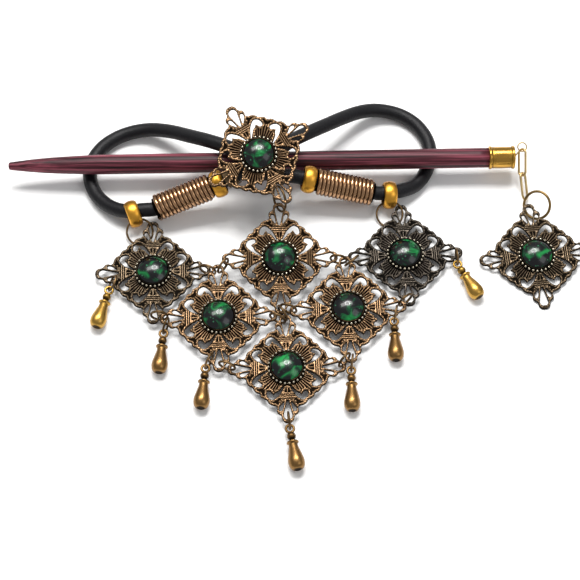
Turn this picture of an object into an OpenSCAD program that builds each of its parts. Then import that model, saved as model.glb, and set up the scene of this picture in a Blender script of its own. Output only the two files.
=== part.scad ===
// Leather figure-eight hair slide: a wooden stick holds the cord loops, a filigree bib hangs from them.
// Millimetres. X runs along the stick, Y away from the wearer of the bib's drops, Z up from the table.

/* [Filigree plates] */
// Half the tip-to-tip length of a plate
plate_half = 20; // [19:0.5:20.5]
// Thickness of a plate
plate_t = 0.9; // [0.6:0.1:1.1]
// Radius of the domed stone
stone_r = 5.2; // [4.5:0.1:5.3]
// Height of the stone's dome
stone_rise = 1.9; // [1:0.1:2.5]

/* [Cord and stick] */
// Diameter of the leather cord
cord_d = 5; // [4.6:0.1:5]
// Diameter of the stick
stick_d = 7; // [6:0.1:7]
// Length of the stick's wood
stick_len = 169.6; // [150:0.2:170]
// Length of the stick's metal cap
cap_len = 9.2; // [8:0.1:9.4]

/* [Wire] */
// Wire radius of the rings that join the plates
joint_wire = 0.42; // [0.3:0.01:0.45]
// Wire radius of the coils
coil_wire = 0.75; // [0.6:0.05:0.76]
// Turns of each coil
coil_turns = 14; // [10:1:14]

/* [Hidden] */
$fn = 48;
// Height of the flat plates' middle plane above the table
flat_z = 2.7;
// Each plate is [centre, turn about Z, tilt about X].
brooch_at = [[-13.9, 37.6, 22.4], 31.6, 16];
centre_at = [[-6.6, 5.7, 6.5], 1.2, 13];
left_at = [[-50.4, 2.3, flat_z], 2.3, 0];
right_at = [[36.9, 9.1, flat_z], 2.8, 0];
mid_left_at = [[-27.4, -15.6, 3.6], 1.75, 2.5];
mid_right_at = [[16.7, -12.3, 3.6], 2.6, 2.5];
bottom_at = [[-4.2, -34.1, flat_z], 1.6, 0];
charm_at = [[82.5, 8.9, 2.3], 5.5, 5];
// Sides of a plate, as the turn from its top tip.
top = 0;
left = 90;
bottom = 180;
right = 270;
// The stick: its tip, its turn about Z, the blunt tip's radius and the length of the taper.
stick_tip = [-102.4, 41.5, 8.6];
stick_turn = 1.2;
tip_r = 1.4;
taper_len = 33;
cap_r = 4.15;
// Round lip at each end of the cap.
lip_len = 1.1;
// The beads: outer radius, bore radius and half width.
bead_r = 4.85;
bead_bore = 3.6;
bead_half = 2.3;

// The cord's centre line, a closed figure eight. It starts under the brooch, runs through the right
// coil, around the right loop, over the stick, through the left coil, around the left loop and back.
cord_route = [
    [-12.5, 36.7, 11.9], [-7, 35.6, 12.3], [-1.4, 35.1, 12.2], [3.4, 34.45, 11.35], [5.9, 34.1, 10.8],
    [16.6, 32.85, 8.73], [26, 31.75, 6.9], [28.5, 31.7, 6.4], [32.2, 32.5, 5.8], [36.7, 34.1, 4.5],
    [41.2, 37, 3], [44.6, 41.5, 2.5], [46.6, 47, 2.5], [47, 52.8, 2.5], [45.4, 58.4, 2.5],
    [41.5, 63.8, 2.5], [35.8, 67.3, 2.8], [28.4, 68, 4.2], [22, 65.8, 6.3], [15.9, 61.6, 9],
    [9.4, 56.4, 12], [3, 51.4, 14.7], [-3, 46.6, 16.8], [-8.5, 41.7, 17.7], [-14.4, 37.3, 17.8],
    [-19, 35, 16.9], [-23.3, 33.6, 14.3], [-27.9, 32.2, 12.3], [-30.3, 31.4, 11.6],
    [-40.35, 28.35, 9.05], [-49, 25.73, 6.86], [-51, 25.2, 6.4], [-54.4, 25, 6.3],
    [-58.2, 24.8, 5.8], [-63.2, 26, 4.6], [-67.8, 29, 3.3], [-71.8, 33.6, 2.5], [-74.1, 39.4, 2.5],
    [-74.3, 45, 2.5], [-72.3, 50.5, 2.5], [-68.5, 55, 2.6], [-62.4, 58.6, 2.8], [-54.5, 59.6, 4.2],
    [-46.5, 57.2, 7], [-38.5, 52.9, 10.4], [-30.6, 48.5, 13.6], [-23, 44.3, 15.2],
    [-18.6, 40.8, 14.3], [-15.8, 38.5, 12.6]
];
cord_sides = 12;
route_count = len(cord_route);
// Ends of each coil's axis.
coil_left_ends = [[-30.3, 31.4, 11.6], [-50.4, 25.3, 6.5]];
coil_right_ends = [[5.9, 34.1, 10.8], [26.5, 31.6, 6.75]];

function unit(v) = v / norm(v);
function turned(p, a) = [p.x * cos(a) - p.y * sin(a), p.x * sin(a) + p.y * cos(a), p.z];
function tilted(p, a) = [p.x, p.y * cos(a) - p.z * sin(a), p.y * sin(a) + p.z * cos(a)];
// A point of a plate, given in the plate's own flat frame.
function on_plate(at, p) = at[0] + tilted(turned(p, at[1]), at[2]);
// A point in the opening in one tip of a plate; shift is across the tip, u is from the plate's centre.
function hole(at, side, shift, u) = on_plate(at, turned([shift, u, 0], side));

// Puts its children, built along +Z, at a point with +Z along the direction.
module along(point, direction) {
    flat = norm([direction.x, direction.y]);
    translate(point)
        rotate([0, atan2(flat, direction.z), atan2(direction.y, direction.x)])
            children();
}

module torus(mean_r, wire_r) {
    rotate_extrude() translate([mean_r, 0]) circle(r = wire_r, $fn = 24);
}

// A ring whose wire passes through points a and b, its centre above them, leaning about the line a-b.
module ring_through(a, b, mean_r, wire_r, lean) {
    d = b - a;
    rise = sqrt(mean_r * mean_r - d * d / 4);
    translate((a + b) / 2)
        rotate([0, -atan2(d.z, norm([d.x, d.y])), atan2(d.y, d.x)])
            rotate([lean, 0, 0])
                translate([0, 0, rise])
                    rotate([90, 0, 0])
                        torus(mean_r, wire_r);
}

// Outline of a plate over one eighth of a turn, as fractions of plate_half: a round tip lobe, a fan lobe
// and a scroll lobe, down to the notch on the diagonal.
edge_points = [
    [0, 1], [-0.06, 0.985], [-0.098, 0.94], [-0.105, 0.89], [-0.13, 0.855], [-0.168, 0.83], [-0.183, 0.78],
    [-0.17, 0.725], [-0.205, 0.69], [-0.26, 0.675], [-0.315, 0.64], [-0.345, 0.585], [-0.4, 0.555],
    [-0.445, 0.52], [-0.455, 0.48]
];
// The same eighth mirrored in the diagonal, in order round the edge.
quarter_edge = concat(
    edge_points,
    [for (i = [len(edge_points) - 1 : -1 : 1]) [-edge_points[i].y, -edge_points[i].x]]
);
plate_edge = [for (side = [top : left : right], p = quarter_edge) turned([p.x, p.y, 0], side)];

// Teardrop opening along the middle of a tip.
drop_r = 0.072;
drop_u = 0.862;
drop_point = 0.59;
drop_edge = concat(
    [[0, drop_point]],
    [for (a = [-14 : 16 : 194]) [drop_r * cos(a), drop_u + drop_r * sin(a)]]
);
// Opening beside the teardrop, and the hooked opening of a scroll.
flank_edge = [[0.05, 0.6], [0.105, 0.66], [0.15, 0.725], [0.152, 0.775], [0.115, 0.805], [0.075, 0.75]];
scroll_edge = [
    [0.04, 0.31], [0.075, 0.40], [0.15, 0.515], [0.25, 0.585], [0.33, 0.54], [0.35, 0.44],
    [0.30, 0.415], [0.265, 0.45], [0.235, 0.49], [0.195, 0.455], [0.145, 0.43]
];

module plate_shape() {
    difference() {
        polygon([for (p = plate_edge) [p.x, p.y] * plate_half]);
        for (side = [top : left : right]) rotate(side) {
            polygon(drop_edge * plate_half);
            for (flip = [0, 1]) mirror([flip, 0]) {
                polygon(flank_edge * plate_half);
                polygon(scroll_edge * plate_half);
            }
        }
    }
}

module on(at) {
    translate(at[0]) rotate([at[2], 0, 0]) rotate([0, 0, at[1]]) children();
}

module plate(at, shade) {
    color(shade) on(at)
        translate([0, 0, -plate_t / 2]) linear_extrude(plate_t) plate_shape();
}

// Seat of the stone: a disc, the wall that grips the stone and the round rim of beads.
cup_r = 6.4;
seat_t = 0.5;
wall_in = 5.35;
wall_t = 0.35;
wall_h = 1.3;
bead_rim_r = 6.08;
bead_rim_wire = 0.32;

module cup(at, shade) {
    color(shade) on(at) translate([0, 0, plate_t / 2]) {
        cylinder(r = cup_r, h = seat_t);
        rotate_extrude() translate([wall_in, 0]) square([wall_t, wall_h]);
        translate([0, 0, seat_t + bead_rim_wire / 2]) torus(bead_rim_r, bead_rim_wire);
    }
}

module stone(at) {
    dome_r = (stone_r * stone_r + stone_rise * stone_rise) / (2 * stone_rise);
    girdle = 0.7;
    color([0.03, 0.2, 0.1]) on(at) translate([0, 0, plate_t / 2 + seat_t]) {
        cylinder(r = stone_r, h = girdle);
        translate([0, 0, girdle]) intersection() {
            translate([0, 0, stone_rise - dome_r]) sphere(dome_r, $fn = 64);
            cylinder(r = stone_r, h = stone_rise);
        }
    }
}

// Direction of the cord at one point of its route, and a ring of the tube around that point.
function cord_at(i) = cord_route[(i + route_count) % route_count];
function cord_way(i) = unit(unit(cord_at(i + 1) - cord_at(i)) + unit(cord_at(i) - cord_at(i - 1)));
function cord_side(i) = unit(cross([0, 0, 1], cord_way(i)));
function cord_ring(i) = [
    for (k = [0 : cord_sides - 1])
        let (a = 360 * k / cord_sides, side = cord_side(i), rise = cross(cord_way(i), side))
            cord_at(i) + cord_d / 2 * (side * cos(a) + rise * sin(a))
];

module leather_cord() {
    points = [for (i = [0 : route_count - 1], p = cord_ring(i)) p];
    faces = [
        for (i = [0 : route_count - 1], k = [0 : cord_sides - 1])
            let (n = cord_sides, j = (i + 1) % route_count, m = (k + 1) % n)
                [i * n + k, j * n + k, j * n + m, i * n + m]
    ];
    color([0.03, 0.03, 0.04]) polyhedron(points, faces);
}

// A coil of wire as close rings over a thin sleeve.
module coil(ends) {
    axis = ends[1] - ends[0];
    pitch = norm(axis) / coil_turns;
    sleeve_in = cord_d / 2 + 0.3;
    sleeve_t = 0.5;
    wire_at = sleeve_in + sleeve_t + 0.2 + coil_wire / 2;
    color([0.55, 0.36, 0.2]) along(ends[0], axis) rotate_extrude() union() {
        translate([sleeve_in, 0]) square([sleeve_t + 0.2, norm(axis)]);
        for (i = [0 : coil_turns - 1])
            translate([wire_at, (i + 0.5) * pitch]) circle(r = coil_wire, $fn = 16);
    }
}
module coil_left() coil(coil_left_ends);
module coil_right() coil(coil_right_ends);

module bead(point, direction) {
    wall = (bead_r - bead_bore) / 2;
    color([0.85, 0.62, 0.25]) along(point, direction)
        rotate_extrude() translate([bead_bore + wall, 0])
            polygon([for (a = [0 : 15 : 345]) [wall * cos(a), bead_half * sin(a)]]);
}
left_run = coil_left_ends[1] - coil_left_ends[0];
right_run = coil_right_ends[1] - coil_right_ends[0];
bead_gap = bead_half + 0.1;
outer_left_bead = [-58, 24.1, 5];
outer_left_way = [0.93, 0.36, 0.05];
outer_right_bead = [31.88, 31.8, 5];
outer_right_way = [0.99, 0.05, -0.1];
module bead_outer_left() bead(outer_left_bead, outer_left_way);
module bead_outer_right() bead(outer_right_bead, outer_right_way);
module bead_inner_left() bead(coil_left_ends[0] - unit(left_run) * bead_gap, left_run);
module bead_inner_right() bead(coil_right_ends[0] - unit(right_run) * bead_gap, right_run);

bronze = [0.5, 0.34, 0.2];
module brooch_plate() plate(brooch_at, bronze);
module brooch_cup() cup(brooch_at, bronze);
module brooch_stone() stone(brooch_at);

// Two sleeves grip the crossing strands, and a post joins each to the back of the brooch.
clamp_len = 4;
clamp_t = 0.8;
module clamp(index, post_h) {
    color(bronze) difference() {
        union() {
            along(cord_at(index) - cord_way(index) * clamp_len / 2, cord_way(index))
                cylinder(r = cord_d / 2 + clamp_t, h = clamp_len);
            translate(cord_at(index)) cylinder(r = 1.2, h = post_h);
        }
        along(cord_at(index) - cord_way(index) * clamp_len, cord_way(index))
            cylinder(r = cord_d / 2 + 0.1, h = 2 * clamp_len);
    }
}
module back_clamps() {
    clamp(1, 8.4);
    clamp(26, 5.6);
}

module on_stick() {
    translate(stick_tip) rotate([0, 0, stick_turn]) rotate([0, 90, 0]) children();
}

module stick_shaft() {
    color([0.3, 0.1, 0.16]) on_stick() rotate_extrude() polygon([
        [0, 0], [tip_r - 0.5, 0], [tip_r, 0.6], [tip_r + 0.95, 9], [tip_r + 1.75, 22],
        [stick_d / 2, taper_len], [stick_d / 2, stick_len], [0, stick_len]
    ]);
}

// Metal cap at the end of the wood, with a round lip at each end.
module stick_cap() {
    color([0.85, 0.65, 0.3]) on_stick() translate([0, 0, stick_len]) {
        cylinder(r = cap_r - 0.25, h = cap_len);
        for (z = [lip_len / 2, cap_len - lip_len / 2])
            translate([0, 0, z]) torus(cap_r - lip_len / 2, lip_len / 2);
    }
}

// Wire eye that stands off the cap's end; its loop faces up and toward the drops.
eye_r = 1.55;
eye_wire = 0.25;
eye_from_cap = [2.7, 3, 2];
eye_faces = [0, -0.462, 0.887];
function cap_end() = stick_tip + turned([stick_len + cap_len, 0, 0], stick_turn);
module stick_eye() {
    color([0.8, 0.65, 0.35]) {
        along(cap_end() + eye_from_cap, eye_faces) torus(eye_r, eye_wire);
        along(cap_end(), eye_from_cap) cylinder(r = eye_wire, h = norm(eye_from_cap) - eye_r, $fn = 24);
    }
}

// Oval link of round wire: two half rings and two straight sides, long way along X.
link_len = 10.2;
link_w = 3.75;
link_wire = 0.425;
module oval_link() {
    mean_r = link_w / 2 - link_wire;
    half = link_len / 2 - link_w / 2;
    for (s = [-1, 1]) {
        translate([s * half, 0, 0]) rotate([0, 0, s * 90 - 180])
            rotate_extrude(angle = 180) translate([mean_r, 0]) circle(r = link_wire, $fn = 24);
        translate([-half, s * mean_r, 0]) rotate([0, 90, 0])
            cylinder(r = link_wire, h = 2 * half, $fn = 24);
    }
}
// Hangs a link from its upper end; fall is its slope below level, spin its roll about its own length.
module hung_link(upper, turn, fall, spin) {
    color([0.8, 0.65, 0.35])
        translate(upper) rotate([0, fall, turn]) rotate([spin, 0, 0])
            translate([link_len / 2 - link_wire, 0, 0]) oval_link();
}
link_upper_top = [79.1, 47.6, 10.2];
link_lower_top = [79.2, 40.1, 6.3];
module link_upper() hung_link(link_upper_top, -90, 27.5, 45);
module link_lower() hung_link(link_lower_top, -83, 27.5, -45);

// Placed rings: centre, direction of the ring's axis, mean radius, wire radius.
module placed_ring(centre, axis, mean_r, wire_r, shade) {
    color(shade) along(centre, axis) torus(mean_r, wire_r);
}
module chain_ring() placed_ring([83.74, 28.1, 4.3], [-0.47, -0.45, 0.71], 4.83, 0.48, [0.6, 0.45, 0.25]);
module hanger_ring() placed_ring([-6.73, 24.94, 13.93], [0.647, 0.292, -0.193], 4.45, 0.4, bronze);
module side_hanger_rings() {
    placed_ring([-55.64, 18.32, 2.52], [-0.004, 0.408, -0.885], 4.54, 0.36, bronze);
    placed_ring([31.96, 25.64, 2.38], [0.081, 0.428, -0.988], 4.55, 0.36, bronze);
}

dark_bronze = [0.3, 0.22, 0.15];
gunmetal = [0.2, 0.17, 0.14];
module charm_plate() plate(charm_at, dark_bronze);
module charm_cup() cup(charm_at, dark_bronze);
module charm_stone() stone(charm_at);

// Bib of six plates.
module plate_centre() plate(centre_at, bronze);
module cup_centre() cup(centre_at, bronze);
module stone_centre() stone(centre_at);
module plate_left() plate(left_at, dark_bronze);
module cup_left() cup(left_at, dark_bronze);
module stone_left() stone(left_at);
module plate_right() plate(right_at, gunmetal);
module cup_right() cup(right_at, gunmetal);
module stone_right() stone(right_at);
module plate_mid_left() plate(mid_left_at, bronze);
module cup_mid_left() cup(mid_left_at, bronze);
module stone_mid_left() stone(mid_left_at);
module plate_mid_right() plate(mid_right_at, bronze);
module cup_mid_right() cup(mid_right_at, bronze);
module stone_mid_right() stone(mid_right_at);
module plate_bottom() plate(bottom_at, bronze);
module cup_bottom() cup(bottom_at, bronze);
module stone_bottom() stone(bottom_at);

// Joint rings, each through two tips: [plate, side, shift, u, plate, side, shift, u, lean].
joint_r = 2.8;
module joint_rings(list) {
    color(bronze) for (j = list)
        ring_through(hole(j[0], j[1], j[2], j[3]), hole(j[4], j[5], j[6], j[7]), joint_r, joint_wire, j[8]);
}
module rings_centre() joint_rings([
    [centre_at, left, 0, 17.88, mid_left_at, top, 0.37, 16.84, 0.5],
    [centre_at, right, 0, 17.56, mid_right_at, top, 0.09, 17.65, 0.3],
    [centre_at, bottom, 0.81, 17.64, bottom_at, top, 0.46, 17.94, 0.7]
]);
module rings_left() joint_rings([
    [left_at, right, -0.11, 16.72, mid_left_at, top, -0.82, 17.22, -2.4],
    [mid_left_at, right, -0.03, 17.54, bottom_at, top, -0.32, 17.03, 0],
    [left_at, bottom, 0.18, 17.46, mid_left_at, left, 0.59, 17.36, -3.2],
    [mid_left_at, bottom, -0.25, 17.46, bottom_at, left, -0.01, 17.57, 1]
]);
module rings_right() joint_rings([
    [right_at, left, -0.1, 17.21, mid_right_at, top, 0.28, 16.51, -23.2],
    [mid_right_at, left, 0.1, 17.66, centre_at, bottom, -0.07, 17.59, 0.6],
    [mid_right_at, bottom, 0.5, 17.26, bottom_at, right, -0.02, 17.61, 1.9],
    [right_at, bottom, -0.25, 17.03, mid_right_at, right, -0.52, 17.41, -1]
]);

// Drops: [point the ring hangs from, eye of the drop, turn of the drop about Z, lean of the ring].
drop_z = 2.8;
drop_ring_r = 2.75;
drop_wire = 0.38;
drops = [
    [hole(left_at, left, -1.9, 13.86), [-65.2, -4.9, drop_z], -105, -28],
    [hole(mid_left_at, left, -0.4, 16.88), [-45.9, -21.4, drop_z], -94.5, 0],
    [hole(mid_left_at, bottom, 2.06, 14.2), [-31.4, -34.4, drop_z], -95, 0],
    [hole(bottom_at, bottom, 0, 17.2), [-3.1, -56.2, drop_z], -79.5, 0],
    [hole(mid_right_at, bottom, -0.5, 17.6), [17.4, -35.2, drop_z], -89.5, 0],
    [hole(mid_right_at, right, 0.28, 16.62), [32.3, -16.9, drop_z], -89, 0],
    [hole(right_at, right, -0.22, 17.63), [54.9, 5.2, drop_z], -61.5, 1.9]
];
// Length from the eye's centre to the rounded end.
drop_len = 14.6;
drop_eye_r = 1.3;
drop_eye_wire = 0.45;
drop_profile = [
    [0, 1.5], [0.9, 1.5], [1.4, 2.4], [1.4, 3], [0.95, 3.9], [1, 4.4], [1.95, 4.7], [2, 5.1], [1.55, 5.5],
    [1.6, 6.5], [2.1, 8.5], [2.6, 10.5], [2.75, 11.8], [2.5, 13.3], [1.9, 14.2], [1, drop_len], [0, drop_len]
];
module drop(i) {
    color([0.7, 0.5, 0.2]) translate(drops[i][1]) {
        torus(drop_eye_r, drop_eye_wire);
        rotate([0, 90, drops[i][2]]) rotate_extrude() polygon(drop_profile);
    }
}
module drop_ring(i) {
    color(bronze) ring_through(drops[i][0], drops[i][1], drop_ring_r, drop_wire, drops[i][3]);
}
module drop_1() drop(0);
module drop_2() drop(1);
module drop_3() drop(2);
module drop_4() drop(3);
module drop_5() drop(4);
module drop_6() drop(5);
module drop_7() drop(6);
module drop_ring_1() drop_ring(0);
module drop_ring_2() drop_ring(1);
module drop_ring_3() drop_ring(2);
module drop_ring_4() drop_ring(3);
module drop_ring_5() drop_ring(4);
module drop_ring_6() drop_ring(5);
module drop_ring_7() drop_ring(6);

leather_cord();
coil_left();
coil_right();
bead_outer_left();
bead_inner_left();
bead_inner_right();
bead_outer_right();
brooch_plate();
brooch_cup();
brooch_stone();
back_clamps();
stick_shaft();
stick_cap();
stick_eye();
link_upper();
link_lower();
chain_ring();
charm_plate();
charm_cup();
charm_stone();
hanger_ring();
side_hanger_rings();
plate_centre();
cup_centre();
stone_centre();
plate_left();
cup_left();
stone_left();
plate_right();
cup_right();
stone_right();
plate_mid_left();
cup_mid_left();
stone_mid_left();
plate_mid_right();
cup_mid_right();
stone_mid_right();
plate_bottom();
cup_bottom();
stone_bottom();
rings_centre();
rings_left();
rings_right();
drop_1();
drop_2();
drop_3();
drop_4();
drop_5();
drop_6();
drop_7();
drop_ring_1();
drop_ring_2();
drop_ring_3();
drop_ring_4();
drop_ring_5();
drop_ring_6();
drop_ring_7();
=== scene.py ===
import math
import bpy
import numpy as np
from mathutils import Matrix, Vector
from mathutils.kdtree import KDTree


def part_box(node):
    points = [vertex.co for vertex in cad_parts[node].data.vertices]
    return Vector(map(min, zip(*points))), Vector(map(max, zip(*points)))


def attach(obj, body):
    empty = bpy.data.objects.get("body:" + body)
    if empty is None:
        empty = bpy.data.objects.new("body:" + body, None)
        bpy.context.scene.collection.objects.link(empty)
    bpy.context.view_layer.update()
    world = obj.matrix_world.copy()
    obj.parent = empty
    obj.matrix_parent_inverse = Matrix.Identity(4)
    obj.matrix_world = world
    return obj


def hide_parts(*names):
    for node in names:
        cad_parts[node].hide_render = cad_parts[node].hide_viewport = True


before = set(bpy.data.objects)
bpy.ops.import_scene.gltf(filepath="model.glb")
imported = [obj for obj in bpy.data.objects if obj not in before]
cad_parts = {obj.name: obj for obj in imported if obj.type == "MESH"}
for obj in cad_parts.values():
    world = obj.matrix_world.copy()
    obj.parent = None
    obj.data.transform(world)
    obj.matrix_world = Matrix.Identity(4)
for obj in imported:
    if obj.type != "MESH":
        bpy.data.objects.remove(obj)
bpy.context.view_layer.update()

mm = 0.001


def rotated(points, angle):
    # Turns 2-D points about the origin by an angle in degrees.
    c, s = math.cos(math.radians(angle)), math.sin(math.radians(angle))
    return [(x * c - y * s, x * s + y * c) for x, y in points]


# Camera, lights and floor

camera = {
    "aim": (-0.0031, -0.0033, 0.0),
    "distance": 0.5672,
    "elevation": 62.5,
    "lens": 102.0,
}
studio = {
    "floor": (0.93, 0.93, 0.93),
    "floorHalf": 3.0,
    "room": 0.42,
    "keyWatts": 8.0,
    "keyAt": (-0.1, 0.42, 0.85),
    "fillWatts": 1.2,
    "fillAt": (0.55, -0.25, 0.7),
    "ringWatts": 0.16,
    "ringRadius": 0.1,
    "ringLamps": 12,
}


def aimAt(obj, target):
    direction = Vector(target) - obj.location
    obj.rotation_euler = direction.to_track_quat("-Z", "Y").to_euler()


def addCamera():
    # Looks down at the slide from the side of its drops.
    data = bpy.data.cameras.new("camera")
    data.lens = camera["lens"]
    data.sensor_width = 36
    data.clip_start = 0.01
    obj = bpy.data.objects.new("camera", data)
    bpy.context.collection.objects.link(obj)
    tilt = math.radians(camera["elevation"])
    aim = Vector(camera["aim"])
    obj.location = aim + camera["distance"] * Vector((0, -math.cos(tilt), math.sin(tilt)))
    aimAt(obj, aim)
    bpy.context.scene.camera = obj
    return obj


def addLamp(name, location, target, size, watts, colour=(1, 1, 1), shape="RECTANGLE", sizeY=None):
    data = bpy.data.lights.new(name, "AREA")
    data.shape = shape
    data.size = size
    if shape == "RECTANGLE":
        data.size_y = sizeY or size
    data.energy = watts
    data.color = colour
    obj = bpy.data.objects.new(name, data)
    bpy.context.collection.objects.link(obj)
    obj.location = location
    aimAt(obj, target)


def addStudio(cam):
    # A white room with a wide lamp, a weaker one, and a ring of lamps that the stones mirror to the camera.
    scene = bpy.context.scene
    scene.view_settings.view_transform = "Standard"
    world = bpy.data.worlds.new("room")
    world.use_nodes = True
    background = world.node_tree.nodes["Background"]
    background.inputs["Color"].default_value = (1, 1, 1, 1)
    background.inputs["Strength"].default_value = studio["room"]
    scene.world = world
    addLamp("key", studio["keyAt"], (0, 0, 0), 0.9, studio["keyWatts"], (1, 0.985, 0.96), sizeY=0.3)
    addLamp("fill", studio["fillAt"], (0, 0, 0), 0.45, studio["fillWatts"], (0.96, 0.98, 1))
    opposite = Vector((cam.location.x, 2 * camera["aim"][1] - cam.location.y, cam.location.z))
    toward = (Vector(camera["aim"]) - opposite).to_track_quat("-Z", "Y").to_matrix()
    for i in range(studio["ringLamps"]):
        a = 2 * math.pi * i / studio["ringLamps"]
        offset = toward @ Vector((math.cos(a), math.sin(a), 0)) * studio["ringRadius"]
        addLamp(f"ring{i}", opposite + offset, camera["aim"], 0.045, studio["ringWatts"], shape="DISK")
    mesh = bpy.data.meshes.new("floor")
    w = studio["floorHalf"]
    mesh.from_pydata([(-w, -w, 0), (w, -w, 0), (w, w, 0), (-w, w, 0)], [], [(0, 1, 2, 3)])
    floor = bpy.data.objects.new("floor", mesh)
    bpy.context.collection.objects.link(floor)
    paint = bpy.data.materials.new("floorPaint")
    paint.use_nodes = True
    shader = paint.node_tree.nodes["Principled BSDF"]
    shader.inputs["Base Color"].default_value = (*studio["floor"], 1)
    shader.inputs["Roughness"].default_value = 0.9
    mesh.materials.append(paint)


cam = addCamera()
bpy.context.view_layer.update()
addStudio(cam)
print("studio ready")


# Shared shader groups

def newGroup(name, inputs, outputs):
    group = bpy.data.node_groups.new(name, "ShaderNodeTree")
    for label, kind, value in inputs:
        socket = group.interface.new_socket(label, in_out="INPUT", socket_type=kind)
        socket.default_value = value
    for label, kind in outputs:
        group.interface.new_socket(label, in_out="OUTPUT", socket_type=kind)
    return group, group.nodes.new("NodeGroupInput"), group.nodes.new("NodeGroupOutput")


def makePatinaAndShadeGroup():
    # Crest colour where the relief stands proud, dark patina in the recesses, with uneven rubbing. On the
    # coils and beads the same mix is painted light: painted highlight on the crests, painted shade in the gaps
    # and bores.
    group, into, out = newGroup(
        "patinaAndShade",
        [
            ("Recess", "NodeSocketColor", (0.02, 0.015, 0.01, 1)),
            ("Crest", "NodeSocketColor", (0.5, 0.3, 0.15, 1)),
            ("Scale", "NodeSocketFloat", 300.0),
            ("Rubbing", "NodeSocketFloat", 0.5),
            ("Lift", "NodeSocketFloat", 0.0),
            ("Polish", "NodeSocketFloat", 0.27),
        ],
        [("Color", "NodeSocketColor"), ("Roughness", "NodeSocketFloat")],
    )
    nodes, links = group.nodes, group.links
    place = nodes.new("ShaderNodeTexCoord")
    relief = nodes.new("ShaderNodeAttribute")
    relief.attribute_name = "relief"
    noise = nodes.new("ShaderNodeTexNoise")
    noise.inputs["Detail"].default_value = 6
    noise.inputs["Roughness"].default_value = 0.6
    spread = nodes.new("ShaderNodeMath")
    spread.operation = "SUBTRACT"
    spread.inputs[1].default_value = 0.5
    weigh = nodes.new("ShaderNodeMath")
    weigh.operation = "MULTIPLY"
    join = nodes.new("ShaderNodeMath")
    join.operation = "ADD"
    lift = nodes.new("ShaderNodeMath")
    lift.operation = "ADD"
    mask = nodes.new("ShaderNodeMapRange")
    mask.interpolation_type = "SMOOTHSTEP"
    mask.inputs["From Min"].default_value = 0.18
    mask.inputs["From Max"].default_value = 0.85
    mix = nodes.new("ShaderNodeMix")
    mix.data_type = "RGBA"
    gloss = nodes.new("ShaderNodeMapRange")
    gloss.inputs["To Min"].default_value = 0.6
    links.new(into.outputs["Polish"], gloss.inputs["To Max"])
    links.new(place.outputs["Object"], noise.inputs["Vector"])
    links.new(into.outputs["Scale"], noise.inputs["Scale"])
    links.new(noise.outputs["Fac"], spread.inputs[0])
    links.new(spread.outputs[0], weigh.inputs[0])
    links.new(into.outputs["Rubbing"], weigh.inputs[1])
    links.new(relief.outputs["Fac"], join.inputs[0])
    links.new(weigh.outputs[0], join.inputs[1])
    links.new(join.outputs[0], lift.inputs[0])
    links.new(into.outputs["Lift"], lift.inputs[1])
    links.new(lift.outputs[0], mask.inputs["Value"])
    links.new(mask.outputs["Result"], mix.inputs["Factor"])
    links.new(into.outputs["Recess"], mix.inputs["A"])
    links.new(into.outputs["Crest"], mix.inputs["B"])
    links.new(mask.outputs["Result"], gloss.inputs["Value"])
    links.new(mix.outputs["Result"], out.inputs["Color"])
    links.new(gloss.outputs["Result"], out.inputs["Roughness"])
    return group


def makeGrainGroup():
    # Fine uneven height for leather and hammered or cast metal.
    group, into, out = newGroup(
        "grain",
        [("Scale", "NodeSocketFloat", 900.0)],
        [("Height", "NodeSocketFloat"), ("Tone", "NodeSocketFloat")],
    )
    nodes, links = group.nodes, group.links
    place = nodes.new("ShaderNodeTexCoord")
    cells = nodes.new("ShaderNodeTexVoronoi")
    noise = nodes.new("ShaderNodeTexNoise")
    noise.inputs["Detail"].default_value = 4
    both = nodes.new("ShaderNodeMath")
    both.operation = "MULTIPLY"
    for texture in (cells, noise):
        links.new(place.outputs["Object"], texture.inputs["Vector"])
        links.new(into.outputs["Scale"], texture.inputs["Scale"])
    links.new(cells.outputs["Distance"], both.inputs[0])
    links.new(noise.outputs["Fac"], both.inputs[1])
    links.new(both.outputs[0], out.inputs["Height"])
    links.new(noise.outputs["Fac"], out.inputs["Tone"])
    return group


patinaAndShade = makePatinaAndShadeGroup()
grain = makeGrainGroup()


def newMaterial(name):
    material = bpy.data.materials.new(name)
    material.use_nodes = True
    nodes = material.node_tree.nodes
    return material, nodes, material.node_tree.links, nodes["Principled BSDF"]


def useGroup(nodes, group, **values):
    node = nodes.new("ShaderNodeGroup")
    node.node_tree = group
    for label, value in values.items():
        node.inputs[label].default_value = value
    return node


def patinaAndShadeMetal(name, recess, crest, scale=260.0, rubbing=0.5, bump=0.12, lift=0.0, polish=0.27):
    # lift raises plain solids, which carry no relief, towards the crest colour.
    # The recess and crest colours are real patina on the plates and cap, and painted shade and painted
    # highlight on the coils and beads.
    material, nodes, links, shader = newMaterial(name)
    tone = useGroup(nodes, patinaAndShade, Recess=(*recess, 1), Crest=(*crest, 1), Scale=scale, Rubbing=rubbing,
                    Lift=lift, Polish=polish)
    dents = useGroup(nodes, grain, Scale=1400.0)
    height = nodes.new("ShaderNodeBump")
    height.inputs["Strength"].default_value = bump
    height.inputs["Distance"].default_value = 0.0002
    shader.inputs["Metallic"].default_value = 1.0
    links.new(tone.outputs["Color"], shader.inputs["Base Color"])
    links.new(tone.outputs["Roughness"], shader.inputs["Roughness"])
    links.new(dents.outputs["Height"], height.inputs["Height"])
    links.new(height.outputs["Normal"], shader.inputs["Normal"])
    return material


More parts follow.
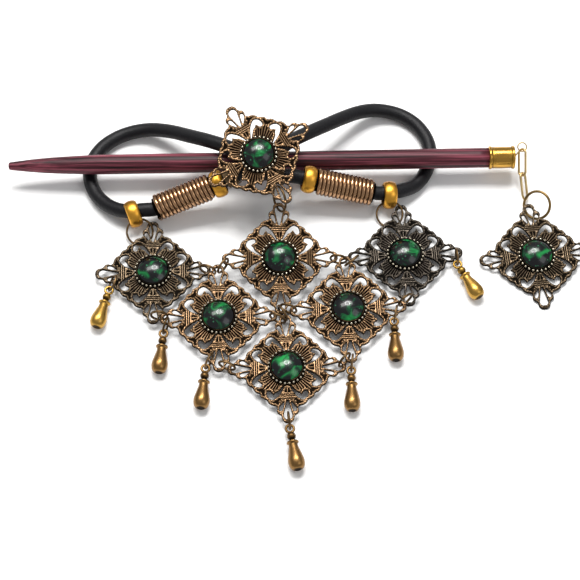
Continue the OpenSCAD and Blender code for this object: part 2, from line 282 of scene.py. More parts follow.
def leather():
    # Black leather with fine pores and a soft sheen.
    material, nodes, links, shader = newMaterial("blackLeather")
    pores = useGroup(nodes, grain, Scale=1500.0)
    ramp = nodes.new("ShaderNodeValToRGB")
    ramp.color_ramp.elements[0].color = (0.0015, 0.0015, 0.002, 1)
    ramp.color_ramp.elements[1].color = (0.007, 0.007, 0.009, 1)
    height = nodes.new("ShaderNodeBump")
    height.inputs["Strength"].default_value = 0.35
    height.inputs["Distance"].default_value = 0.0003
    shader.inputs["Roughness"].default_value = 0.48
    shader.inputs["Specular IOR Level"].default_value = 0.22
    links.new(pores.outputs["Tone"], ramp.inputs["Fac"])
    links.new(ramp.outputs["Color"], shader.inputs["Base Color"])
    links.new(pores.outputs["Height"], height.inputs["Height"])
    links.new(height.outputs["Normal"], shader.inputs["Normal"])
    return material


def stainedWood():
    # Dark maroon wood with long fibres along the stick.
    material, nodes, links, shader = newMaterial("maroonWood")
    place = nodes.new("ShaderNodeTexCoord")
    fibres = nodes.new("ShaderNodeMapping")
    fibres.inputs["Scale"].default_value = (14, 900, 900)
    fibres.inputs["Rotation"].default_value = (0, 0, -math.radians(1.2))
    noise = nodes.new("ShaderNodeTexNoise")
    noise.inputs["Scale"].default_value = 1.0
    noise.inputs["Detail"].default_value = 7
    noise.inputs["Roughness"].default_value = 0.65
    ramp = nodes.new("ShaderNodeValToRGB")
    ramp.color_ramp.elements[0].position = 0.38
    ramp.color_ramp.elements[0].color = (0.003, 0.0008, 0.0012, 1)
    ramp.color_ramp.elements[1].position = 0.64
    ramp.color_ramp.elements[1].color = (0.23, 0.052, 0.075, 1)
    middle = ramp.color_ramp.elements.new(0.5)
    middle.color = (0.06, 0.011, 0.018, 1)
    height = nodes.new("ShaderNodeBump")
    height.inputs["Strength"].default_value = 0.25
    height.inputs["Distance"].default_value = 0.0002
    shader.inputs["Roughness"].default_value = 0.45
    shader.inputs["Specular IOR Level"].default_value = 0.22
    links.new(place.outputs["Object"], fibres.inputs["Vector"])
    links.new(fibres.outputs["Vector"], noise.inputs["Vector"])
    links.new(noise.outputs["Fac"], ramp.inputs["Fac"])
    links.new(noise.outputs["Fac"], height.inputs["Height"])
    links.new(ramp.outputs["Color"], shader.inputs["Base Color"])
    links.new(height.outputs["Normal"], shader.inputs["Normal"])
    return material


def foiledGlass():
    # Black glass with green foil patches deep under a clear dome.
    material, nodes, links, shader = newMaterial("greenStone")
    place = nodes.new("ShaderNodeTexCoord")
    patches = nodes.new("ShaderNodeTexNoise")
    patches.inputs["Scale"].default_value = 260.0
    patches.inputs["Detail"].default_value = 2.5
    patches.inputs["Distortion"].default_value = 0.8
    flecks = nodes.new("ShaderNodeTexVoronoi")
    flecks.inputs["Scale"].default_value = 620.0
    ramp = nodes.new("ShaderNodeValToRGB")
    elements = ramp.color_ramp.elements
    elements[0].position, elements[0].color = 0.47, (0.0005, 0.001, 0.002, 1)
    elements[1].position, elements[1].color = 0.74, (0.008, 0.24, 0.05, 1)
    deep = elements.new(0.55)
    deep.color = (0.0, 0.035, 0.012, 1)
    sparkle = nodes.new("ShaderNodeMapRange")
    sparkle.inputs["From Min"].default_value = 0.22
    sparkle.inputs["From Max"].default_value = 0.08
    sparkle.inputs["To Max"].default_value = 0.45
    mix = nodes.new("ShaderNodeMix")
    mix.data_type = "RGBA"
    mix.inputs["B"].default_value = (0.05, 0.28, 0.13, 1)
    shader.inputs["Roughness"].default_value = 0.25
    shader.inputs["Specular IOR Level"].default_value = 0.3
    shader.inputs["Coat Weight"].default_value = 0.35
    shader.inputs["Coat Roughness"].default_value = 0.06
    shader.inputs["IOR"].default_value = 1.5
    for texture in (patches, flecks):
        links.new(place.outputs["Object"], texture.inputs["Vector"])
    links.new(patches.outputs["Fac"], ramp.inputs["Fac"])
    links.new(flecks.outputs["Distance"], sparkle.inputs["Value"])
    links.new(sparkle.outputs["Result"], mix.inputs["Factor"])
    links.new(ramp.outputs["Color"], mix.inputs["A"])
    links.new(mix.outputs["Result"], shader.inputs["Base Color"])
    return material


finishes = {
    "bronze": patinaAndShadeMetal("bronze", (0.006, 0.004, 0.0025), (0.23, 0.14, 0.075), rubbing=0.8),
    "darkBronze": patinaAndShadeMetal("darkBronze", (0.005, 0.004, 0.003), (0.11, 0.079, 0.05), rubbing=0.8),
    "gunmetal": patinaAndShadeMetal("gunmetal", (0.004, 0.0035, 0.003), (0.06, 0.05, 0.04), rubbing=0.8),
    "rimSilver": patinaAndShadeMetal("rimSilver", (0.06, 0.05, 0.035), (0.62, 0.56, 0.44), rubbing=0.2),
    # Near-black recess: painted shade between the coil turns; crest: the painted highlight on each turn.
    "coilBronze": patinaAndShadeMetal(
        "coilBronze", (0.003, 0.002, 0.001), (0.45, 0.26, 0.14), rubbing=0.2, polish=0.22),
    # On the beads the crest gives a painted highlight round the middle and the recess gives painted shade in
    # the bore.
    "gold": patinaAndShadeMetal(
        "gold", (0.16, 0.07, 0.008), (0.68, 0.34, 0.045), scale=120.0, rubbing=0.8, bump=0.08, polish=0.36),
    "polishedGold": patinaAndShadeMetal(
        "polishedGold", (0.05, 0.025, 0.004), (0.52, 0.29, 0.055), rubbing=0.3, bump=0.03, polish=0.2),
    "chainWire": patinaAndShadeMetal("chainWire", (0.12, 0.07, 0.025), (0.62, 0.46, 0.22), lift=0.65),
    "brassWire": patinaAndShadeMetal("brassWire", (0.035, 0.02, 0.008), (0.36, 0.235, 0.09), rubbing=0.9, lift=0.55),
    "ringWire": patinaAndShadeMetal("ringWire", (0.015, 0.009, 0.004), (0.3, 0.185, 0.085), rubbing=1.0, lift=0.5),
    "clampBronze": patinaAndShadeMetal("clampBronze", (0.05, 0.032, 0.016), (0.4, 0.27, 0.15), rubbing=0.8, lift=0.45),
    "goldenDrop": patinaAndShadeMetal(
        "goldenDrop", (0.03, 0.016, 0.004), (0.46, 0.27, 0.06), scale=160.0, rubbing=0.9, polish=0.33),
    "bronzeDrop": patinaAndShadeMetal(
        "bronzeDrop", (0.012, 0.007, 0.003), (0.25, 0.14, 0.05), scale=160.0, rubbing=1.0, polish=0.33),
    "stone": foiledGlass(),
    "leather": leather(),
    "wood": stainedWood(),
}
print("finishes ready:", len(finishes))


# Mesh makers: each gives points (N, 3), faces and relief (N), in millimetres

def unit(v):
    return v / np.linalg.norm(v)


def frameAcross(way):
    # Two unit vectors across a direction.
    way = unit(np.array(way, float))
    side = np.cross((0, 0, 1), way)
    if np.linalg.norm(side) < 1e-6:
        side = np.array((1.0, 0, 0))
    side = unit(side)
    return side, np.cross(way, side)


def gridFaces(rows, columns, closedRows):
    # Quads between rows of points, each row a closed ring.
    faces = []
    for i in range(rows if closedRows else rows - 1):
        for k in range(columns):
            j, m = (i + 1) % rows, (k + 1) % columns
            faces.append((i * columns + k, i * columns + m, j * columns + m, j * columns + k))
    return faces


def smoothLine(points, steps, closed):
    # A smooth curve through listed points.
    points = np.array(points, float)
    count = len(points)
    line = []
    for i in range(count if closed else count - 1):
        if closed:
            p0, p1, p2, p3 = (points[(i + k) % count] for k in (-1, 0, 1, 2))
        else:
            p0, p1, p2, p3 = points[max(i - 1, 0)], points[i], points[i + 1], points[min(i + 2, count - 1)]
        gap = np.linalg.norm(p2 - p1)
        m1 = (p2 - p0) / (gap + np.linalg.norm(p1 - p0)) * gap
        m2 = (p3 - p1) / (gap + np.linalg.norm(p3 - p2)) * gap
        for t in np.arange(steps) / steps:
            line.append(
                (2 * t**3 - 3 * t**2 + 1) * p1 + (t**3 - 2 * t**2 + t) * m1
                + (3 * t**2 - 2 * t**3) * p2 + (t**3 - t**2) * m2
            )
    if not closed:
        line.append(points[-1])
    return np.array(line)


def evenly(line, gap):
    # The same closed line with points about a gap apart.
    ends = np.vstack([line, line[:1]])
    lengths = np.concatenate([[0], np.cumsum(np.linalg.norm(np.diff(ends, axis=0), axis=1))])
    count = max(4, int(round(lengths[-1] / gap)))
    at = np.linspace(0, lengths[-1], count, endpoint=False)
    return np.column_stack([np.interp(at, lengths, ends[:, k]) for k in range(ends.shape[1])])


def sweepTube(line, radius, sides, closed):
    # Round tube along a 3-D line; open ends are capped.
    count = len(line)
    ways = np.roll(line, -1, 0) - np.roll(line, 1, 0)
    if not closed:
        ways[0], ways[-1] = line[1] - line[0], line[-1] - line[-2]
    side, _ = frameAcross(ways[0])
    points = []
    for i in range(count):
        way = unit(ways[i])
        side = unit(side - way * np.dot(side, way))
        rise = np.cross(way, side)
        angles = 2 * np.pi * np.arange(sides) / sides
        points.append(line[i] + radius * (np.outer(np.cos(angles), side) + np.outer(np.sin(angles), rise)))
    faces = gridFaces(count, sides, closed)
    if not closed:
        faces.append(tuple(range(sides)))
        faces.append(tuple(reversed(range((count - 1) * sides, count * sides))))
    points = np.vstack(points)
    return points, faces, np.full(len(points), 0.62)


def lathe(profile, point, way, segments=48, relief=None):
    # Turns (radius, height) pairs about an axis; relief may differ along the profile.
    side, rise = frameAcross(way)
    way = unit(np.array(way, float))
    angles = 2 * np.pi * np.arange(segments) / segments
    points = np.vstack([
        np.array(point) + way * h + r * (np.outer(np.cos(angles), side) + np.outer(np.sin(angles), rise))
        for r, h in profile
    ])
    tones = np.repeat(relief if relief is not None else np.full(len(profile), 0.7), segments)
    return points, gridFaces(len(profile), segments, False), tones


def merged(*shapes):
    # Several shapes as one.
    points, faces, tones, base = [], [], [], 0
    for p, f, t in shapes:
        points.append(p)
        faces.extend(tuple(i + base for i in face) for face in f)
        tones.append(t)
        base += len(p)
    return np.vstack(points), faces, np.concatenate(tones)


def ball(centre, radius):
    angles = np.linspace(-np.pi / 2, np.pi / 2, 9)
    profile = [(max(radius * math.cos(a), 0.002), radius * math.sin(a)) for a in angles]
    return lathe(profile, centre, (0, 0, 1), 12, np.ones(len(profile)))


def addPiece(name, shape, finish, body, nodes):
    # One object from a shape, with its finish, riding its body in place of the nodes named.
    points, faces, tones = shape
    mesh = bpy.data.meshes.new(name)
    mesh.from_pydata((points * mm).tolist(), [], faces)
    layer = mesh.attributes.new("relief", "FLOAT", "POINT")
    layer.data.foreach_set("value", np.asarray(tones, np.float32))
    mesh.materials.append(finishes[finish])
    mesh.polygons.foreach_set("use_smooth", [True] * len(mesh.polygons))
    mesh.update()
    obj = bpy.data.objects.new(name, mesh)
    bpy.context.collection.objects.link(obj)
    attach(obj, body)
    if nodes:
        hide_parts(*nodes)


def nodeMiddle(node):
    low, high = (np.array(v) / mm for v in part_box(node))
    return (low + high) / 2


def settled(shape, node):
    # The shape moved so that the middle of its box is the middle of the node's box.
    points, faces, tones = shape
    return points + nodeMiddle(node) - (points.min(0) + points.max(0)) / 2, faces, tones


# Leather loop

loop = {
    "radius": 2.5,
    "sides": 28,
    "route": [
        (-12.5, 36.7, 11.9), (-7, 35.6, 12.3), (-1.4, 35.1, 12.2), (3.4, 34.45, 11.35), (5.9, 34.1, 10.8),
        (16.6, 32.85, 8.73), (26, 31.75, 6.9), (28.5, 31.7, 6.4), (32.2, 32.5, 5.8), (36.7, 34.1, 4.5),
        (41.2, 37, 3), (44.6, 41.5, 2.5), (46.6, 47, 2.5), (47, 52.8, 2.5), (45.4, 58.4, 2.5),
        (41.5, 63.8, 2.5), (35.8, 67.3, 2.8), (28.4, 68, 4.2), (22, 65.8, 6.3), (15.9, 61.6, 9),
        (9.4, 56.4, 12), (3, 51.4, 14.7), (-3, 46.6, 16.8), (-8.5, 41.7, 17.7), (-14.4, 37.3, 17.8),
        (-19, 35, 16.9), (-23.3, 33.6, 14.3), (-27.9, 32.2, 12.3), (-30.3, 31.4, 11.6),
        (-40.35, 28.35, 9.05), (-49, 25.73, 6.86), (-51, 25.2, 6.4), (-54.4, 25, 6.3),
        (-58.2, 24.8, 5.8), (-63.2, 26, 4.6), (-67.8, 29, 3.3), (-71.8, 33.6, 2.5), (-74.1, 39.4, 2.5),
        (-74.3, 45, 2.5), (-72.3, 50.5, 2.5), (-68.5, 55, 2.6), (-62.4, 58.6, 2.8), (-54.5, 59.6, 4.2),
        (-46.5, 57.2, 7), (-38.5, 52.9, 10.4), (-30.6, 48.5, 13.6), (-23, 44.3, 15.2),
        (-18.6, 40.8, 14.3), (-15.8, 38.5, 12.6),
    ],
}
loopLine = evenly(smoothLine(loop["route"], 12, True), 0.8)
addPiece("leatherLoop", sweepTube(loopLine, loop["radius"], loop["sides"], True), "leather",
         "frame", ["leather_cord"])
print("leather loop ready")


# Wire coils over the loop

coil = {
    "turns": 14,
    "wire": 0.72,
    "helixRadius": 4.0,
    "sleeve": 3.3,
    "left": ((-30.3, 31.4, 11.6), (-50.4, 25.3, 6.5)),
    "right": ((5.9, 34.1, 10.8), (26.5, 31.6, 6.75)),
}


def wireCoil(ends):
    # One wound wire, brighter on the outer side of each turn as a painted highlight, over a near-black sleeve
    # of painted shade between the turns.
    start, stop = np.array(ends[0]), np.array(ends[1])
    way = unit(stop - start)
    side, rise = frameAcross(way)
    length = np.linalg.norm(stop - start)
    pad = coil["wire"]
    t = np.linspace(0, 1, coil["turns"] * 36 + 1)
    angle = 2 * np.pi * coil["turns"] * t
    along = pad + (length - 2 * pad) * t
    line = start + np.outer(along, way) + coil["helixRadius"] * (
        np.outer(np.cos(angle), side) + np.outer(np.sin(angle), rise))
    points, faces, _ = sweepTube(line, coil["wire"], 12, False)
    crest = np.linalg.norm(points - start - np.outer((points - start) @ way, way), axis=1)
    # Painted light: the outer side of each turn takes the crest colour as a highlight, the inner side the
    # near-black recess as shade.
    tones = np.clip((crest - coil["helixRadius"]) / coil["wire"], 0, 1)
    # The sleeve takes the near-black recess colour: painted shade showing between the turns.
    inner, outer, inset = coil["sleeve"], coil["sleeve"] + 0.2, 0.2
    profile = [(inner, inset), (outer, inset), (outer, length - inset), (inner, length - inset)]
    return merged((points, faces, tones), lathe(profile, start, way, 48, np.zeros(4)))


for hand in ("left", "right"):
    node = f"coil_{hand}"
    wound = settled(wireCoil(coil[hand]), node)
    addPiece(f"wireCoil_{hand}", wound, "coilBronze", "frame", [node])
print("wire coils ready")


# Gold rondelle beads

rondelle = {
    "radius": 4.85,
    "bore": 3.6,
    "bulge": 1.15,
    "halfWidth": 2.3,
    "ways": {
        "bead_outer_left": (0.93, 0.36, 0.05),
        "bead_inner_left": (-20.1, -6.1, -5.1),
        "bead_inner_right": (20.6, -2.5, -4.05),
        "bead_outer_right": (0.99, 0.05, -0.1),
    },
}


def rondelleBead(way):
    # A bulging ring, lighter round its middle as a painted highlight, with painted shade in its dark bore.
    half, bulge = rondelle["halfWidth"], rondelle["bulge"]
    profile, tones = [], []
    # Painted highlight: the tone rises towards the outer middle of the bulge.
    for a in np.linspace(-np.pi / 2, np.pi / 2, 25):
        profile.append((rondelle["radius"] - bulge + bulge * math.cos(a), half * math.sin(a)))
        tones.append(0.6 + 0.4 * math.cos(a))
    # The bore gets a low tone: painted shade inside the hole.
    for y in np.linspace(half, -half, 7):
        profile.append((rondelle["bore"], y * 0.96))
        tones.append(0.15)
    profile.append(profile[0])
    tones.append(tones[0])
    return lathe(profile, (0, 0, 0), way, 72, np.array(tones))


for node, way in rondelle["ways"].items():
    addPiece(f"rondelle_{node[5:]}", settled(rondelleBead(way), node), "gold", "frame", [node])
print("beads ready")


# Filigree plates, cast as one relief and placed eight times

filigree = {
    "half": 20.0,
    "step": 0.2,
    "back": -0.45,
    "edgeHeight": 0.0,
    "crest": 0.47,
    "strip": 0.42,
    "ropePitch": 1.0,
    "ropeDepth": 0.24,
    "field": 0.04,
    "fluteLow": 0.02,
    "fluteDepth": 0.3,
    "bosses": [(0.232, 0.472, 0.042), (0.30, 0.50, 0.03), (0.0, 0.955, 0.03), (0.13, 0.62, 0.028)],
    "outline": [
        (0, 1), (-0.06, 0.985), (-0.098, 0.94), (-0.105, 0.89), (-0.13, 0.855), (-0.168, 0.83),
        (-0.183, 0.78), (-0.17, 0.725), (-0.205, 0.69), (-0.26, 0.675), (-0.315, 0.64),
        (-0.345, 0.585), (-0.4, 0.555), (-0.445, 0.52), (-0.455, 0.48),
    ],
    "sides": [
        ([(0.05, 0.6), (0.105, 0.66), (0.15, 0.725), (0.152, 0.775), (0.115, 0.805), (0.075, 0.75)], 0.82),
        ([(0.04, 0.31), (0.075, 0.40), (0.15, 0.515), (0.25, 0.585), (0.33, 0.54), (0.35, 0.44),
          (0.30, 0.415), (0.265, 0.45), (0.235, 0.49), (0.195, 0.455), (0.145, 0.43)], 0.95),
    ],
    "dropRadius": 0.072,
    "dropAt": 0.862,
    "dropPoint": 0.59,
}
plates = {
    "brooch": dict(body="frame", nodes=("brooch_plate", "brooch_cup", "brooch_stone"), turn=31.6, tilt=16,
                   finish="bronze", slot="bronze"),
    "centre": dict(body="bib_centre", nodes=("plate_centre", "cup_centre", "stone_centre"), turn=1.2, tilt=13,
                   finish="bronze", slot="bronze"),
    "left": dict(body="bib_left", nodes=("plate_left", "cup_left", "stone_left"), turn=2.3, tilt=0,
                 finish="darkBronze", slot="dark_bronze"),
    "right": dict(body="bib_right", nodes=("plate_right", "cup_right", "stone_right"), turn=2.8, tilt=0,
                  finish="gunmetal", slot="gunmetal"),
    "midLeft": dict(body="bib_left", nodes=("plate_mid_left", "cup_mid_left", "stone_mid_left"), turn=1.75,
                    tilt=2.5, finish="bronze", slot="bronze"),
    "midRight": dict(body="bib_right", nodes=("plate_mid_right", "cup_mid_right", "stone_mid_right"), turn=2.6,
                     tilt=2.5, finish="bronze", slot="bronze"),
    "bottom": dict(body="bib_bottom", nodes=("plate_bottom", "cup_bottom", "stone_bottom"), turn=1.6, tilt=0,
                   finish="bronze", slot="bronze"),
    "charm": dict(body="charm", nodes=("charm_plate", "charm_cup", "charm_stone"), turn=5.5, tilt=5,
                  finish="darkBronze", slot="dark_bronze"),
}


def insideLoop(x, y, line):
    # Which points lie inside a closed line, by counting crossings.
    inside = np.zeros(len(x), bool)
    x1, y1 = line[:, 0], line[:, 1]
    x2, y2 = np.roll(x1, -1), np.roll(y1, -1)
    for a, b, c, d in zip(x1, y1, x2, y2):
        if b == d:
            continue
        inside ^= ((b > y) != (d > y)) & (x < (c - a) * (y - b) / (d - b) + a)
    return inside


def filigreeLoops():
    # The plate's outline, then its openings: a drop in each tip, and mirrored pairs beside it.
    half = filigree["half"]
    quarters = (0, 90, 180, 270)
    eighth = filigree["outline"]
    quarter = eighth + [(-y, -x) for x, y in eighth[:0:-1]]
    outline = [p for a in quarters for p in rotated(quarter, a)]
    r, at = filigree["dropRadius"], filigree["dropAt"]
    drop = [(0, filigree["dropPoint"])]
    drop += [(r * math.cos(math.radians(a)), at + r * math.sin(math.radians(a))) for a in range(-14, 195, 16)]
    openings = []
    for a in quarters:
        openings.append(rotated(drop, a))
        for flip in (1, -1):
            for edge, size in filigree["sides"]:
                mx, my = (sum(p[k] for p in edge) / len(edge) for k in (0, 1))
                kept = [(mx + (x - mx) * size, my + (y - my) * size) for x, y in edge]
                openings.append(rotated([(flip * x, y) for x, y in kept], a))
    return [evenly(smoothLine(np.array(line) * half, 6, True), 0.12) for line in [outline] + openings]


def waves(phase):
    # A cosine from 0 to 1, with its crests at whole numbers.
    return 0.5 + 0.5 * np.cos(2 * np.pi * phase)


def reliefHeights(x, y, distance, arc):
    # Heights from each point's distance to the nearest edge, and its place along that edge.
    half = filigree["half"]
    flip = np.abs(y) < np.abs(x)
    fy = np.where(flip, np.abs(x), np.abs(y)) / half
    fx = np.where(flip, np.abs(y), np.abs(x)) / half  # folded so that the nearest tip points up
    rounded = np.sqrt(np.clip(1 - (1 - np.clip(distance / filigree["strip"], 0, 1)) ** 2, 0, 1))
    rope = waves((arc + 0.8 * distance) / filigree["ropePitch"])
    beyond = np.clip((distance - 0.72) / 0.22, 0, 1)
    strip = rounded * (filigree["crest"] - filigree["edgeHeight"] - filigree["ropeDepth"] * (1 - rope))
    along = (fy + fx) / math.sqrt(2)
    across = (fy - fx) / math.sqrt(2)
    leaf = (along > 0.3) & (along < 0.56) & (np.abs(across) < 0.17)
    ribs = waves(across / (0.052 * np.clip(along / 0.5, 0.5, 1.2)))
    neck = (fx < 0.11) & (fy > 0.3) & (fy < 0.6) & ~leaf
    flutes = waves(fx / 0.05)
    low, deep = filigree["fluteLow"], filigree["fluteDepth"]
    field = np.where(leaf, low + deep * ribs ** 2, filigree["field"])
    field = np.where(neck, low + deep * flutes ** 2, field)
    height = strip * (1 - beyond) + field * beyond
    collar = (fx < 0.13) & (fy > 0.455) & (fy < 0.575)
    height = np.where(collar, rounded * (0.05 + 0.42 * waves((fy - 0.47) / 0.036)), height)
    for cx, cy, r in filigree["bosses"]:
        d = np.hypot(fx - cx, fy - cy) / r
        height = np.maximum(height, np.where(d < 1, 0.2 + 0.55 * np.sqrt(np.clip(1 - d * d, 0, 1)), -1))
    return height


def filigreeGrid(loops):
    # Square cells over the metal: the points they use, whether each is inside, and the cells' corners.
    reach = filigree["half"] * 1.03
    count = int(round(2 * reach / filigree["step"])) + 1
    axis = np.linspace(-reach, reach, count)
    gx, gy = (g.ravel() for g in np.meshgrid(axis, axis))
    keep = insideLoop(gx, gy, loops[0])
    for line in loops[1:]:
        keep &= ~insideLoop(gx, gy, line)
    grid = keep.reshape(count, count)
    cells = (grid[:-1, :-1].astype(int) + grid[1:, :-1] + grid[:-1, 1:] + grid[1:, 1:]) >= 2
    used = np.zeros((count, count), bool)
    for dy, dx in ((0, 0), (1, 0), (0, 1), (1, 1)):
        used[dy:count - 1 + dy, dx:count - 1 + dx] |= cells
    index = np.flatnonzero(used.ravel())
    number = np.full(count * count, -1)
    number[index] = np.arange(len(index))
    rows, columns = np.nonzero(cells)
    first = rows * count + columns
    quads = number[np.column_stack([first, first + 1, first + count + 1, first + count])]
    return gx[index], gy[index], keep[index], quads


def snapToEdges(x, y, inside, loops):
    # Pulls points beside an edge onto it; gives each point's distance to the edge and place along it.
    edge = np.vstack(loops)
    arcs = np.concatenate([np.arange(len(line)) * np.linalg.norm(line[1] - line[0]) for line in loops])
    tree = KDTree(len(edge))
    for i, p in enumerate(edge):
        tree.insert((p[0], p[1], 0), i)
    tree.balance()
    distance, arc = np.zeros(len(x)), np.zeros(len(x))
    for k in range(len(x)):
        spot, i, d = tree.find((x[k], y[k], 0))
        arc[k] = arcs[i]
        if inside[k]:
            distance[k] = d
        if not inside[k] or d < 0.25 * filigree["step"]:
            x[k], y[k], distance[k] = spot[0], spot[1], 0.0
    return distance, arc


def castFiligree():
    # The relief above, a flat back, and walls along every open edge.
    loops = filigreeLoops()
    x, y, inside, quads = filigreeGrid(loops)
    distance, arc = snapToEdges(x, y, inside, loops)
    height = np.where(distance == 0, filigree["edgeHeight"], reliefHeights(x, y, distance, arc))
    tones = np.clip((height - 0.02) / 0.46, 0, 1)
    n = len(x)
    top = [tuple(quad) for quad in quads.tolist()]
    faces = top + [(f[3] + n, f[2] + n, f[1] + n, f[0] + n) for f in top]
    edges = {(f[i], f[(i + 1) % 4]): True for f in top for i in range(4)}
    for i, j in edges:
        if (j, i) not in edges:
            faces.append((j, i, i + n, j + n))
    back = np.column_stack([x, y, np.full(n, filigree["back"])])
    points = np.vstack([np.column_stack([x, y, height]), back])
    return points, faces, np.concatenate([tones, np.full(n, 0.25)])


def posed(shape, plate):
    # A shape made about a flat plate's middle, turned, tilted and set in its place.
    points, faces, tones = shape
    t, s = math.radians(plate["turn"]), math.radians(plate["tilt"])
    x = points[:, 0] * math.cos(t) - points[:, 1] * math.sin(t)
    y = points[:, 0] * math.sin(t) + points[:, 1] * math.cos(t)
    z = points[:, 2]
    turned = np.column_stack([x, y * math.cos(s) - z * math.sin(s), y * math.sin(s) + z * math.cos(s)])
    return turned + nodeMiddle(plate["nodes"][0]), faces, tones


seat = {
    "radius": 6.4,
    "thick": 0.5,
    "wallIn": 5.35,
    "wall": 0.35,
    "wallHeight": 1.3,
    "beads": 26,
    "beadRadius": 0.46,
    "beadAt": 6.1,
    "base": 0.45,
}


def stoneSeat():
    # A shallow tray with a thin upright wall round the stone.
    z = seat["base"]
    r = seat["wallIn"]
    profile = [(0.01, z + seat["thick"]), (r, z + seat["thick"]), (r, z + seat["wallHeight"]),
               (r + 0.12, z + seat["wallHeight"] + 0.02), (r + seat["wall"], z + seat["wallHeight"] - 0.15),
               (r + seat["wall"], z + seat["thick"]), (seat["radius"] - 0.1, z + seat["thick"]),
               (seat["radius"], z + seat["thick"] - 0.1), (seat["radius"], z)]
    tones = np.array([0, 0, 0.25, 0.35, 0.1, 0.0, 0.0, 0.3, 0.1])
    return lathe(profile, (0, 0, 0), (0, 0, 1), 72, tones)


def rimBeads():
    # A ring of tiny balls on the seat, outside its wall.
    z = seat["base"]
    shapes = []
    for i in range(seat["beads"]):
        a = 2 * math.pi * i / seat["beads"]
        spot = (seat["beadAt"] * math.cos(a), seat["beadAt"] * math.sin(a), z + seat["thick"] + 0.12)
        shapes.append(ball(spot, seat["beadRadius"]))
    return merged(*shapes)


cabochon = {
    "radius": 5.2,
    "rise": 1.9,
    "girdle": 0.7,
    "base": 0.95,
}


def domedStone():
    # A low girdle under part of a sphere.
    r, rise = cabochon["radius"], cabochon["rise"]
    z = cabochon["base"] + cabochon["girdle"]
    domeRadius = (r * r + rise * rise) / (2 * rise)
    profile = [(0.01, cabochon["base"]), (r, cabochon["base"]), (r, z - 0.1)]
    full = math.asin(r / domeRadius)
    for a in np.linspace(full, 0, 22):
        profile.append((max(domeRadius * math.sin(a) - (0.04 if a == full else 0), 0.01),
                        z + rise - domeRadius + domeRadius * math.cos(a)))
    return lathe(profile, (0, 0, 0), (0, 0, 1), 72)


cast = castFiligree()
print("filigree cast:", len(cast[1]), "faces")
for name, plate in plates.items():
    metal, slot, body = plate["finish"], plate["slot"], plate["body"]
    base, cup, gem = plate["nodes"]
    addPiece(f"filigree_{name}", posed(cast, plate), metal, body, [base])
    addPiece(f"seat_{name}", posed(stoneSeat(), plate), metal, body, [cup])
    addPiece(f"rimBeads_{name}", posed(rimBeads(), plate), "rimSilver", body, [])
    addPiece(f"stone_{name}", posed(domedStone(), plate), "stone", body, [gem])
print("plates ready")


# Pear drops

drop = {
    "eyeRadius": 1.3,
    "eyeWire": 0.45,
    "profile": [
        (0.01, 1.5), (0.9, 1.5), (1.4, 2.4), (1.4, 3.0), (0.95, 3.9), (1.0, 4.4), (1.95, 4.7), (2.0, 5.1),
        (1.55, 5.5), (1.6, 6.5), (2.1, 8.5), (2.6, 10.5), (2.75, 11.8), (2.5, 13.3), (1.9, 14.2),
        (1.0, 14.58), (0.01, 14.6),
    ],
    "golden": (1, 7),
    "turns": (-105, -94.5, -95, -79.5, -89.5, -89, -61.5),
}


def pearDrop(turn):
    # A turned pear with a collar, on a wire eye at its upper end.
    a = math.radians(turn)
    way = (math.cos(a), math.sin(a), 0)
    profile = smoothLine(drop["profile"], 5, False)
    profile[:, 0] = np.clip(profile[:, 0], 0.01, 2.75)
    tones = np.clip((profile[:, 0] - 0.75) / 1.2, 0.1, 1)
    body = lathe(profile, (0, 0, 0), way, 48, tones)
    angles = np.linspace(0, 2 * np.pi, 48, endpoint=False)
    eye = np.column_stack([np.cos(angles), np.sin(angles), np.zeros(48)]) * drop["eyeRadius"]
    return merged(body, sweepTube(eye, drop["eyeWire"], 16, True))


for i, turn in enumerate(drop["turns"], 1):
    finish, slot = ("goldenDrop", "golden_drop") if i in drop["golden"] else ("bronzeDrop", "bronze_drop")
    node = f"drop_{i}"
    addPiece(f"pearDrop_{i}", settled(pearDrop(turn), node), finish, f"pendant_{i}", [node])
print("drops ready")


# Wooden stick with its metal cap

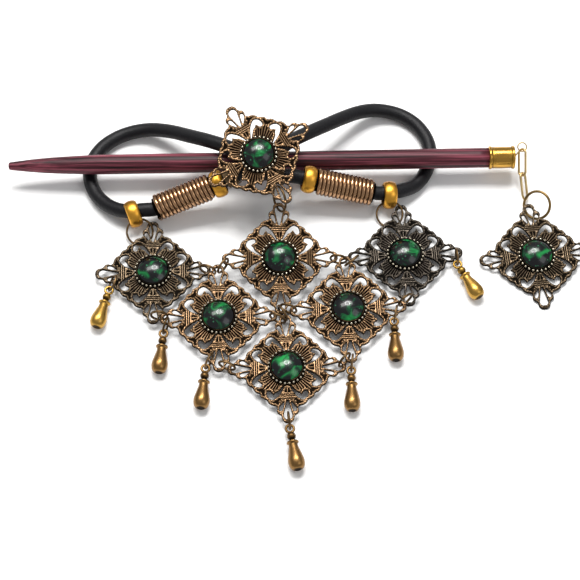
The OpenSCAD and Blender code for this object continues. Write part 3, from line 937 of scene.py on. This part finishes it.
stick = {
    "length": 169.6,
    "turn": 1.2,
    "profile": [
        (0.01, 0), (0.9, 0.02), (1.25, 0.25), (1.42, 0.75), (1.75, 3.5), (2.35, 9), (2.85, 15.5), (3.15, 22),
        (3.4, 28), (3.5, 33),
    ],
    "radius": 3.5,
    "capLength": 9.2,
    "capRadius": 4.15,
}


def woodenStick():
    # Tapers from a blunt tip to a straight round shaft.
    a = math.radians(stick["turn"])
    way = (math.cos(a), math.sin(a), 0)
    profile = list(smoothLine(stick["profile"], 4, False))
    profile += [(stick["radius"], z) for z in np.linspace(36, stick["length"], 40)]
    profile.append((0.01, stick["length"]))
    return lathe([(min(r, stick["radius"]), h) for r, h in profile], (0, 0, 0), way, 72)


def metalCap():
    # A drum with a rounded rib at each end.
    a = math.radians(stick["turn"])
    r, h = stick["capRadius"], stick["capLength"]
    profile = [
        (0.01, 0.02), (r - 0.7, 0), (r - 0.2, 0.08), (r, 0.45), (r - 0.12, 0.92), (r - 0.36, 1.15),
        (r - 0.36, 1.3), (r - 0.3, h / 2), (r - 0.36, h - 1.3), (r - 0.36, h - 1.15), (r - 0.12, h - 0.92),
        (r, h - 0.45), (r - 0.2, h - 0.1), (r - 0.55, h), (r - 0.9, h - 0.12), (0.01, h - 0.16),
    ]
    tones = np.array([0.6, 0.8, 0.95, 1, 0.8, 0.25, 0.6, 1, 0.6, 0.25, 0.8, 1, 0.95, 0.8, 0.7, 0.7])
    return lathe(profile, (0, 0, 0), (math.cos(a), math.sin(a), 0), 96, tones)


addPiece("woodenStick", settled(woodenStick(), "stick_shaft"), "wood", "stick", ["stick_shaft"])
addPiece("metalCap", settled(metalCap(), "stick_cap"), "polishedGold", "stick", ["stick_cap"])
print("stick ready")


# Rings and links that keep their solid, with a finish

metalwork = {
    "ringWire": ["hanger_ring", "side_hanger_rings", "rings_centre", "rings_left", "rings_right"]
    + [f"drop_ring_{i}" for i in range(1, 8)],
    "chainWire": ["stick_eye", "link_upper", "link_lower"],
    "brassWire": ["chain_ring"],
    "clampBronze": ["back_clamps"],
}
for finish, names in metalwork.items():
    for name in names:
        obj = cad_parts[name]
        if not obj.material_slots:
            obj.data.materials.append(None)
        for materialSlot in obj.material_slots:
            materialSlot.material = finishes[finish]
print("rings and links ready")
